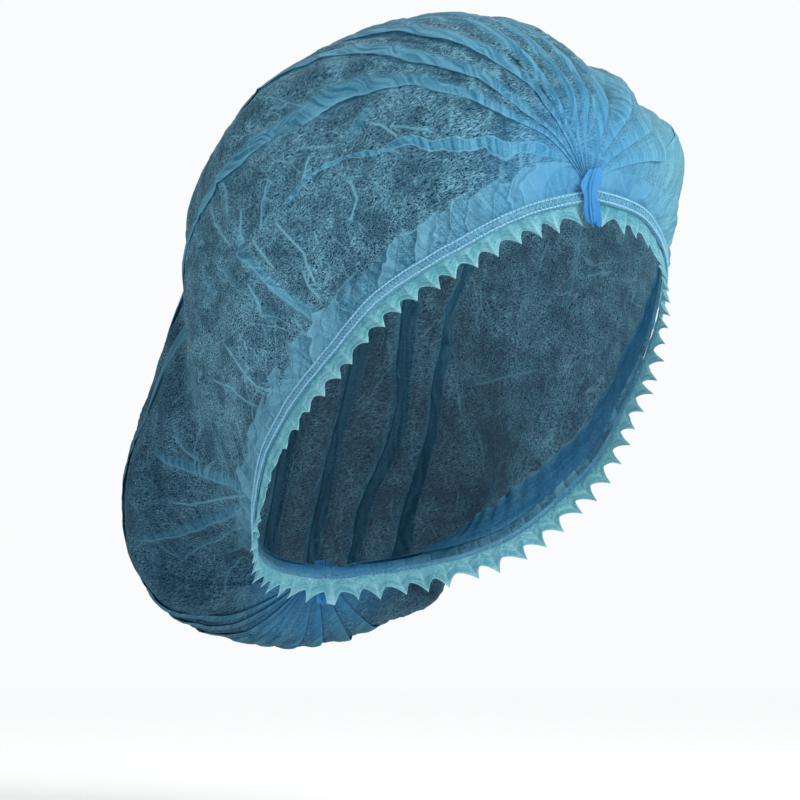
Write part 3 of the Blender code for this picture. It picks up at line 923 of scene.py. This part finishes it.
front_tuft = tuft("bunched_end_front", TUFT_TURN_SHARE, 19.5 * MM, 6.6 * MM, 5)
back_tuft = tuft("bunched_end_back", 0.5, 13.0 * MM, 6.0 * MM, 8, drop=4.0 * MM)

# %% [markdown]
# ## Finishes
#
# Every piece but the thread is spunbond polypropylene: endless fibres are spun, laid at random on a
# belt and bonded at small points under a hot roller. One layer is an open web that shows what is
# behind it, and where layers lie together it gets smooth and light. An image of real cloth could be
# wrapped round the cap, but patterns made by nodes stay sharp at any size and follow the folds.


# %% one function for nodes and one for colours
def colour(code):
    """An sRGB hex colour as linear values."""
    parts = [int(code[i : i + 2], 16) / 255 for i in (1, 3, 5)]
    return (*[p / 12.92 if p <= 0.04045 else ((p + 0.055) / 1.055) ** 2.4 for p in parts], 1)


def add(tree, kind, inputs=None, out=0, **settings):
    """Adds a node with its settings and its inputs, values or sockets, and gives one of its outputs."""
    node = tree.nodes.new("ShaderNode" + kind)
    for key, value in settings.items():
        setattr(node, key, value)
    for key, value in (inputs or {}).items():
        if isinstance(value, bpy.types.NodeSocket):
            tree.links.new(value, node.inputs[key])
        else:
            node.inputs[key].default_value = value
    return node.outputs[out]


def new_material(name):
    """An empty material and its node tree."""
    made = bpy.data.materials.new(name)
    made.use_nodes = True
    made.node_tree.nodes.remove(made.node_tree.nodes["Principled BSDF"])
    return made, made.node_tree


# Settings that many nodes share: a soft ramp, noise on a flat map, and a mix of two colours
SMOOTH = dict(interpolation_type="SMOOTHSTEP")
ON_MAP = dict(noise_dimensions="2D")
TINTED = dict(out=2, data_type="RGBA")
print("linear value of the web's light blue", [round(part, 3) for part in colour("#8ACBE4")])

# %% [markdown]
# ## The web of fibres
#
# A fibre is about 0.02 mm thick, a twentieth of a pixel here, so the web is drawn as coarse as it
# needs to show: the openings between fibres are 1 to 2 mm instead of 0.2 mm, and the bright dashes
# where fibres lie together are 0.4 mm wide. The belt moves while the fibres fall, so most dashes lie
# one way. Noise that is stretched along a direction gives such dashes, and the borders of Voronoi
# cells give the openings.

# %% the web's real and drawn sizes
OPENINGS = ((0, 62, -35), 0.0012, 0.0022)
# Dashes: turn (degrees), width and length (m), limits of the noise, and strength
DASHES = (
    ((0, 62, -35), 0.00042, 0.0021, 0.54, 0.62, 1.0),
    ((0, 98, -35), 0.00038, 0.0018, 0.57, 0.65, 0.85),
    ((0, 20, -35), 0.00038, 0.0016, 0.59, 0.67, 0.60),
)


def laid(tree, spot, turn, wide, long):
    """Coordinates stretched along one direction, so that a pattern gets long that way."""
    turned = [math.radians(t) for t in turn]
    inputs = {"Vector": spot, "Rotation": turned, "Scale": (wide, wide, long)}
    return add(tree, "Mapping", inputs, vector_type="TEXTURE")


def fibres(tree, spot):
    """The web: light fibres round small dark openings, with brighter dashes that lie mostly one way."""
    put = partial(add, tree)
    wobble = put("TexNoise", {"Vector": spot, "Scale": 500.0, "Detail": 1.0}, out="Color")
    bent = put("VectorMath", {0: wobble, 1: (0.0014,) * 3, 2: spot}, operation="MULTIPLY_ADD")
    cells = {"Vector": laid(tree, bent, *OPENINGS), "Scale": 1.0}
    border = put("TexVoronoi", cells, feature="DISTANCE_TO_EDGE")
    thread_at = put("MapRange", {0: border, 1: 0.26, 2: 0.02}, **SMOOTH)
    web = put("Math", {0: thread_at, 1: 0.40}, operation="MULTIPLY")
    for turn, wide, long, low, high, strength in DASHES:
        stretched = laid(tree, spot, turn, wide, long)
        noise = put("TexNoise", {"Vector": stretched, "Scale": 1.0, "Detail": 1.0})
        dash = put("MapRange", {0: noise, 1: low, 2: high, 4: strength}, **SMOOTH)
        web = put("Math", {0: web, 1: dash}, operation="MAXIMUM")
    cloud = put("TexNoise", {"Vector": spot, "Scale": 85.0, "Detail": 4.0, "Roughness": 0.65})
    weight = {0: cloud, 1: 0.34, 2: 0.66, 3: 0.42, 4: 1.04}
    thickness = put("MapRange", weight, **SMOOTH)
    return put("Math", {0: web, 1: thickness}, operation="MULTIPLY")


FIBRE = 0.02 * MM
dash_width = DASHES[0][1]
print("a dash is drawn", dash_width / MM, "mm wide, as wide as", round(dash_width / FIBRE), "fibres")

# %% [markdown]
# ## Crinkles and the gathered strip
#
# Thin cloth that was packed flat keeps a net of fine creases, long in the direction of the folds.
# Above the elastic the turned-in edge makes a second layer, which the elastic gathers into flat
# panels of its own width, height and tone. Both follow the cloth, so they are laid on its flat maps:
# `flat` measures the cloth itself, and `seam` measures along the elastic and away from it.

# %% fine crinkles
CRINKLE_WIDTH, CRINKLE_LENGTH = 0.012, 0.034


def crinkles(tree, where):
    """Thin broken lines where the cloth was creased, as a net that is stretched along the folds; the
    material raises them and gives them a painted highlight.
    """
    put = partial(add, tree)
    longer = put("Mapping", {"Vector": where, "Scale": (1 / CRINKLE_WIDTH, 1 / CRINKLE_LENGTH, 1)})
    uneven = {"Vector": longer, "Scale": 1.1, "Detail": 2.0}
    wobble = put("TexNoise", uneven, out="Color", **ON_MAP)
    bent = put("VectorMath", {0: wobble, 1: (1.1, 1.1, 0), 2: longer}, operation="MULTIPLY_ADD")
    cells = {"Vector": bent, "Scale": 1.0}
    net = put("TexVoronoi", cells, feature="DISTANCE_TO_EDGE", voronoi_dimensions="2D")
    line = put("MapRange", {0: net, 1: 0.035, 2: 0.008}, **SMOOTH)
    patch = put("TexNoise", {"Vector": where, "Scale": 60.0, "Detail": 1.0}, **ON_MAP)
    kept = put("MapRange", {0: patch, 1: 0.44, 2: 0.62, 4: 0.55}, **SMOOTH)
    return put("Math", {0: line, 1: kept}, operation="MULTIPLY")


# %% the doubled strip above the elastic
GATHER_WIDTH = 0.0078


def gathered_strip(tree):
    """Flat gathers: where the strip is, each gather's tone, the painted highlights on its edges and the
    painted shade at its side.
    """
    put = partial(add, tree)
    places = put("UVMap", uv_map="seam")
    run = put("SeparateXYZ", {0: places})
    up = run.node.outputs[1]
    bend = put("TexNoise", {"Vector": places, "Scale": 130.0, "Detail": 1.0}, **ON_MAP)
    bend = put("MapRange", {0: bend, 3: -0.00375, 4: 0.00375})
    run = put("Math", {0: up, 1: 0.38, 2: run}, operation="MULTIPLY_ADD")
    run = put("Math", {0: run, 1: bend}, operation="ADD")
    along = put("Math", {0: run, 1: GATHER_WIDTH}, operation="DIVIDE")
    gather = put("TexVoronoi", {"W": along, "Scale": 1.0}, voronoi_dimensions="1D").node
    cells = {"W": along, "Scale": 1.0}
    border = put("TexVoronoi", cells, voronoi_dimensions="1D", feature="DISTANCE_TO_EDGE")
    height, tilt, tone = put("SeparateColor", {0: gather.outputs["Color"]}).node.outputs
    inside = put("Math", {0: along, 1: gather.outputs["W"]}, operation="SUBTRACT")

    # Each gather ends 8 to 13 mm above the elastic, with a slant of its own
    top = put("MapRange", {0: height, 3: 0.0080, 4: 0.0130})
    slant = put("MapRange", {0: tilt, 3: -0.00375, 4: 0.00375})
    top = put("Math", {0: slant, 1: inside, 2: top}, operation="MULTIPLY_ADD")
    below = put("Math", {0: top, 1: up}, operation="SUBTRACT")
    strip = put("MapRange", {0: below, 1: -0.0002, 2: 0.0003}, **SMOOTH)

    # The near edge of a gather gets a painted highlight, and the cloth beside it gets a painted shade
    near_border = put("MapRange", {0: border, 1: 0.11, 2: 0.03}, **SMOOTH)
    light_side = put("MapRange", {0: inside, 1: -0.02, 2: 0.02}, **SMOOTH)
    dark_side = put("MapRange", {0: inside, 1: 0.02, 2: -0.02}, **SMOOTH)
    lit, shade = near_border, put("MapRange", {0: border, 1: 0.30, 2: 0.0}, **SMOOTH)
    for factor in (light_side, strip, height, 0.8):
        lit = put("Math", {0: lit, 1: factor}, operation="MULTIPLY")
    for factor in (dark_side, strip):
        shade = put("Math", {0: shade, 1: factor}, operation="MULTIPLY")
    # The top edge of a gather gets a painted highlight as well
    off_top = put("Math", {0: below}, operation="ABSOLUTE")
    top_line = put("MapRange", {0: off_top, 1: 0.00065, 2: 0.0002}, **SMOOTH)
    top_line = put("Math", {0: top_line, 1: tilt}, operation="MULTIPLY")
    lit = put("Math", {0: lit, 1: top_line}, operation="MAXIMUM")

    # Some gathers run on into the single cloth as a thin crease with a painted highlight
    reach = put("MapRange", {0: tone, 3: 0.008, 4: 0.038})
    left = put("Math", {0: reach, 1: up}, operation="SUBTRACT")
    fading = put("MapRange", {0: left, 1: 0.0, 2: 0.008, 4: 0.45}, **SMOOTH)
    thin = put("MapRange", {0: border, 1: 0.075, 2: 0.02}, **SMOOTH)
    tail = put("Math", {0: thin, 1: fading}, operation="MULTIPLY")
    lit = put("Math", {0: lit, 1: tail}, operation="MAXIMUM")
    return strip, tone, lit, shade


print("about", round(ELASTIC_LENGTH / GATHER_WIDTH), "gathers round the elastic")

# %% [markdown]
# ## Spunbond polypropylene
#
# Polypropylene has an IOR of 1.49. The fibres are round and lie all ways, so the cloth has no gloss:
# the roughness is 0.62 and the specular level is low. A faint blue-green sheen stands for the fuzz of
# fibres that shows where the cloth turns away. Light comes through such thin cloth, so a third of it
# goes to a translucent shader. Single cloth is dark with light fibres, and folds, the strip and the
# ridge are smooth and light because layers lie together there.


# %% the marks that only the worn crown has: layers, painted highlights and painted shade
def crown_marks_and_painted_light(tree, where, spot):
    """Layers, lines with a painted highlight, tone and painted shade of the crown's strip, ridge,
    creases and crinkles.
    """
    put = partial(add, tree)
    strip, tone, lit, shade = gathered_strip(tree)
    doubled = put("MapRange", {0: tone, 3: 0.55, 4: 0.90})
    doubled = put("Math", {0: strip, 1: doubled}, operation="MULTIPLY")

    off = put("Attribute", attribute_name="ridge_off", out="Fac")
    ragged = put("TexNoise", {"Vector": spot, "Scale": 260.0, "Detail": 2.0})
    ragged = put("MapRange", {0: ragged, 3: -0.45, 4: 0.45})
    off = put("Math", {0: off, 1: ragged}, operation="ADD")
    ridge = put("MapRange", {0: off, 1: 1.04, 2: 0.90, 4: 0.90}, **SMOOTH)
    # A thin painted highlight runs along the side of the ridge
    off_side = put("Math", {0: off, 1: 0.85}, operation="SUBTRACT")
    off_side = put("Math", {0: off_side}, operation="ABSOLUTE")
    ridge_side_highlight = put("MapRange", {0: off_side, 1: 0.16, 2: 0.04, 4: 0.7}, **SMOOTH)

    crease = put("Attribute", attribute_name="crease_off", out="Fac")
    crease = put("Math", {0: crease}, operation="ABSOLUTE")
    crease = put("MapRange", {0: crease, 1: 0.0008, 2: 0.0002}, **SMOOTH)
    power = put("Attribute", attribute_name="crease_power", out="Fac")
    lines = put("Math", {0: crease, 1: power}, operation="MULTIPLY")
    for more in (crinkles(tree, where), lit, ridge_side_highlight):
        lines = put("Math", {0: lines, 1: more}, operation="MAXIMUM")
    layers = put("Math", {0: doubled, 1: ridge}, operation="MAXIMUM")
    bright = strip
    for factor in (tone, 0.60):
        bright = put("Math", {0: bright, 1: factor}, operation="MULTIPLY")
    return layers, lines, bright, shade


# %% the cloth
def spunbond(name, dark, light, fold_dark, fold_light, clear, rim_light="#8FD0E8", worn=False):
    """Spunbond web: light fibres over darker cloth, smoother and lighter where layers lie together."""
    made, tree = new_material(name)
    put = partial(add, tree)
    where = put("UVMap", uv_map="flat")
    spot = put("TexCoord", out="Object")
    layers = put("Attribute", attribute_name="layers", out="Fac")
    edge = put("Attribute", attribute_name="edge", out="Fac")
    lines = put("Math", {0: edge, 1: 0.75}, operation="MULTIPLY")

    # Single cloth shows its fibres, and folded cloth shows long soft streaks 2 mm wide
    web = fibres(tree, spot)
    single = put("Mix", {0: web, 6: colour(dark), 7: colour(light)}, **TINTED)
    longer = put("Mapping", {"Vector": where, "Scale": (1 / 0.0022, 1 / 0.045, 1)})
    streaks = put("TexNoise", {"Vector": longer, "Scale": 1.0, "Detail": 2.0}, **ON_MAP)
    tone = put("MapRange", {0: streaks, 1: 0.34, 2: 0.66, 4: 0.65}, **SMOOTH)
    tone = put("Math", {0: web, 1: 0.35, 2: tone}, operation="MULTIPLY_ADD")
    folded = put("Mix", {0: tone, 6: colour(fold_dark), 7: colour(fold_light)}, **TINTED)
    if worn:
        more_layers, more_lines, bright, shade = crown_marks_and_painted_light(tree, where, spot)
        folded = put("Mix", {0: bright, 6: folded, 7: colour(rim_light)}, **TINTED)
        layers = put("Math", {0: layers, 1: more_layers}, operation="MAXIMUM")
        lines = put("Math", {0: lines, 1: more_lines}, operation="MAXIMUM")
    base = put("Mix", {0: layers, 6: single, 7: folded}, **TINTED)
    # Edges, crisp lines and crinkles get a painted highlight in the rim_light colour
    highlight_weight = put("Math", {0: lines, 1: 0.75}, operation="MULTIPLY")
    tints = [(highlight_weight, rim_light)]
    if worn:
        # Painted shade beside each gather and over the bag at the nape, and paler loose cloth at the
        # lobe
        loose = put("MapRange", {0: streaks, 1: 0.35, 2: 0.65, 3: 0.50, 4: 0.80})
        at_lobe = put("Attribute", attribute_name="free", out="Fac")
        nape_shade = put("Attribute", attribute_name="deep", out="Fac")
        tints += [
            (put("Math", {0: shade, 1: 0.45}, operation="MULTIPLY"), "#155478"),
            (put("Math", {0: at_lobe, 1: loose}, operation="MULTIPLY"), "#8CD2E6"),
            (put("Math", {0: nape_shade, 1: 0.60}, operation="MULTIPLY"), "#022C46"),
        ]
    at_knot = put("Attribute", attribute_name="knot", out="Fac")
    tints.append((put("Math", {0: at_knot, 1: 0.5}, operation="MULTIPLY", use_clamp=True), "#4BA2DC"))
    for weight, tint in tints:
        base = put("Mix", {0: weight, 6: base, 7: colour(tint)}, **TINTED)

    # Between the fibres of a single layer a little shows through
    gap = put("Math", {0: 1.0, 1: web}, operation="SUBTRACT")
    single_layer = put("Math", {0: 1.0, 1: layers}, operation="SUBTRACT", use_clamp=True)
    gap = put("Math", {0: gap, 1: single_layer}, operation="MULTIPLY")
    alpha = put("Math", {0: gap, 1: -clear, 2: 1.0}, operation="MULTIPLY_ADD")
    height = put("Math", {0: lines, 1: 1.6, 2: web}, operation="MULTIPLY_ADD")
    relief = put("Bump", {"Height": height, "Strength": 0.45, "Distance": 0.0004})
    surface = {
        "Base Color": base,
        "Roughness": 0.62,
        "IOR": 1.49,
        "Alpha": alpha,
        "Normal": relief,
        "Specular IOR Level": 0.12,
        "Sheen Weight": 0.07,
        "Sheen Roughness": 0.45,
        "Sheen Tint": colour("#7CCFD6"),
    }
    shader = put("BsdfPrincipled", surface)
    through = put("BsdfTranslucent", {"Color": base, "Normal": relief})
    both = put("MixShader", {0: 0.30, 1: shader, 2: through})
    tree.links.new(both, tree.nodes["Material Output"].inputs["Surface"])
    print(name, "has", len(tree.nodes), "nodes")
    return made


# %% the same cloth on each piece
# Crown: worn thin over the head, so the eye sees dark teal with a net of light fibres
crown_cloth = spunbond("spunbond_web", "#04304A", "#8ACBE4", "#2C7B9E", "#79C4E2", 0.02, worn=True)
# Turned-in edge: two layers and a fold, so it is bluer and more even
hem_cloth = spunbond("spunbond_turned_in", "#1F6690", "#7CBCD8", "#2F86B6", "#69B5DE", 0.04)
# Frill: one loose layer against the light, so it is the palest and greenest, with painted highlights on
# its rims
frill_cloth = spunbond("spunbond_frill", "#3D8FA4", "#98D4E0", "#4FA3B4", "#98D4DF", 0.06, "#BCE8F0")
# Bunched ends: many layers pressed together, so the dye shows as a strong blue
bunch_cloth = spunbond("spunbond_bunched", "#1254B4", "#4C98E4", "#1A5FC0", "#78BEEE", 0.0)
# Cover of the elastic: tight cloth, smooth and light between the stitches
band_cloth = spunbond("spunbond_over_elastic", "#3E86AA", "#86C2DA", "#4E98BC", "#8CC8DE", 0.0)

# %% [markdown]
# ## Polyester sewing thread
#
# Spun polyester is matt and pale here, with a twist about 0.4 mm long. It could be a texture on the
# elastic, but the rows catch the light as cords do, so they are meshes with a fine noise on them.


# %% the thread
def spun_polyester(name, shade, light_shade):
    """Spun polyester thread: matt, with the twist as fine noise."""
    made, tree = new_material(name)
    spot = add(tree, "TexCoord", out="Object")
    twist = add(tree, "TexNoise", {"Vector": spot, "Scale": 2500.0, "Detail": 1.0})
    side = add(tree, "MapRange", {0: twist, 1: 0.35, 2: 0.65}, **SMOOTH)
    tint = add(tree, "Mix", {0: side, 6: colour(shade), 7: colour(light_shade)}, **TINTED)
    relief = add(tree, "Bump", {"Height": twist, "Strength": 0.3, "Distance": 0.0002})
    surface = {"Base Color": tint, "Roughness": 0.6, "IOR": 1.54, "Normal": relief}
    shader = add(tree, "BsdfPrincipled", surface)
    tree.links.new(shader, tree.nodes["Material Output"].inputs["Surface"])
    return made


sewing_thread = spun_polyester("spun_polyester_thread", "#6CAFCC", "#98CDE2")

# %% [markdown]
# ## Each piece gets its finish and takes the place of its solid
#
# The cap has no joint, so every piece rides on the root body. The stitch rows have no solid of their
# own: they belong to the sewn elastic. The real strip is 0.50 m by 0.42 m. The edges and the frill
# have shallower gathers than real ones, so theirs are the sizes of these ribbons laid flat.

# %% finishes and places
PIECES = (
    (crown_piece, crown_cloth, "crown", "spunbond_cloth"),
    (hem_right, hem_cloth, "hem_right", "turned_in_cloth"),
    (hem_left, hem_cloth, "hem_left", "turned_in_cloth"),
    (band, band_cloth, "elastic_band", "sewn_elastic"),
    (ruffle, frill_cloth, "ruffle", "frill_cloth"),
    (front_tuft, bunch_cloth, "front_tuft", "bunched_cloth"),
    (back_tuft, bunch_cloth, "back_tuft", "bunched_cloth"),
    *((row, sewing_thread, None, "sewn_elastic") for row in stitches),
)
for piece, finish, solid, slot in PIECES:
    piece.data.materials.append(finish)
    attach(piece, "root")
    if solid:
        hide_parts(solid)
print(len(PIECES), "pieces dressed")

# %% [markdown]
# ## Floor, light and camera
#
# The photograph has a white ground and soft light from the front and above. A pale paper floor lies
# well below the cap, and it fades out before its rim shows. A big softbox gives the main light,
# weaker ones open the shadows from the side, from behind and from below, and the world adds an even
# dim light but looks white to the camera.

# %% floor
FLOOR_DROP = 0.16
FLOOR_RADIUS = 3.0
below = (0, 0, -FLOOR_DROP)
bpy.ops.mesh.primitive_circle_add(vertices=96, radius=FLOOR_RADIUS, fill_type="TRIFAN", location=below)
floor = bpy.context.object
floor.name = "studio_floor"
# Matt uncoated paper: its grain is noise about 17 mm wide, so soft that it only breaks up the white
paper, tree = new_material("pale_studio_paper")
spot = add(tree, "TexCoord", out="Object")
grain = add(tree, "TexNoise", {"Vector": spot, "Scale": 60.0, "Detail": 4.0})
tint = add(tree, "Mix", {0: grain, 6: colour("#F1F2F2"), 7: colour("#F6F7F7")}, **TINTED)
away = add(tree, "VectorMath", {0: spot}, out="Value", operation="LENGTH")
fading = add(tree, "MapRange", {0: away, 1: 1.6, 2: 0.25}, **SMOOTH)
surface = {"Base Color": tint, "Roughness": 0.9, "Alpha": fading}
surface.update({"Emission Color": colour("#FFFFFF"), "Emission Strength": 0.30})
shader = add(tree, "BsdfPrincipled", surface)
tree.links.new(shader, tree.nodes["Material Output"].inputs["Surface"])
floor.data.materials.append(paper)
print("floor", FLOOR_DROP, "m below the middle of the head")

# %% world
world = bpy.data.worlds.new("studio")
bpy.context.scene.world = world
world.use_nodes = True
background = world.node_tree.nodes["Background"]
seen = add(world.node_tree, "LightPath", out="Is Camera Ray")
glow = add(world.node_tree, "MapRange", {0: seen, 3: 0.42, 4: 1.0})
world.node_tree.links.new(glow, background.inputs["Strength"])
background.inputs["Color"].default_value = colour("#FAFBFC")
bpy.context.scene.view_settings.view_transform = "Standard"
bpy.context.scene.cycles.transparent_max_bounces = 32

# %% softboxes
# Name, azimuth and elevation (degrees), distance and size (m), power (W) and tint
SOFTBOXES = (
    ("key", 4, 32, 1.1, 0.6, 9.8, "#FFFFFF"),
    ("fill", -95, 15, 1.4, 1.0, 3, "#FFFFFF"),
    ("back", 150, 40, 1.4, 0.8, 4, "#FFFFFF"),
    ("low", -30, -8, 1.6, 0.8, 1.4, "#C4E6FF"),
)
for name, azimuth, elevation, distance, size, power, tint in SOFTBOXES:
    light = bpy.data.lights.new(name, "AREA")
    light.shape = "SQUARE"
    light.size = size
    light.energy = power
    light.color = colour(tint)[:3]
    lamp = bpy.data.objects.new(name, light)
    a, e = math.radians(azimuth), math.radians(elevation)
    from_cap = Vector((math.sin(a) * math.cos(e), -math.cos(a) * math.cos(e), math.sin(e)))
    lamp.location = distance * from_cap
    lamp.rotation_euler = (-from_cap).to_track_quat("-Z", "Y").to_euler()
    bpy.context.scene.collection.objects.link(lamp)
print(len(SOFTBOXES), "softboxes")

# %% camera
# The photograph's flat view: a long lens far away, aimed at the middle of the 800 pixel picture
CAMERA_DISTANCE = 3.0
PICTURE = 800
SENSOR_WIDTH = 36
aim_right = (PICTURE / 2 - PHOTO_ORIGIN[0]) / PHOTO_SCALE
aim_up = (PHOTO_ORIGIN[1] - PICTURE / 2) / PHOTO_SCALE
aim = Vector(view_right) * aim_right + Vector((0, 0, aim_up))
lens = bpy.data.cameras.new("camera")
lens.sensor_width = SENSOR_WIDTH
lens.lens = SENSOR_WIDTH * CAMERA_DISTANCE / (PICTURE / PHOTO_SCALE)
lens.clip_end = 20
camera = bpy.data.objects.new("camera", lens)
camera.location = aim + Vector(view_from) * CAMERA_DISTANCE
camera.rotation_euler = Vector(view_from).to_track_quat("Z", "Y").to_euler()
bpy.context.scene.collection.objects.link(camera)
bpy.context.scene.camera = camera
print("lens", round(lens.lens), "mm, azimuth", round(math.degrees(CAMERA_AZIMUTH)), "degrees")
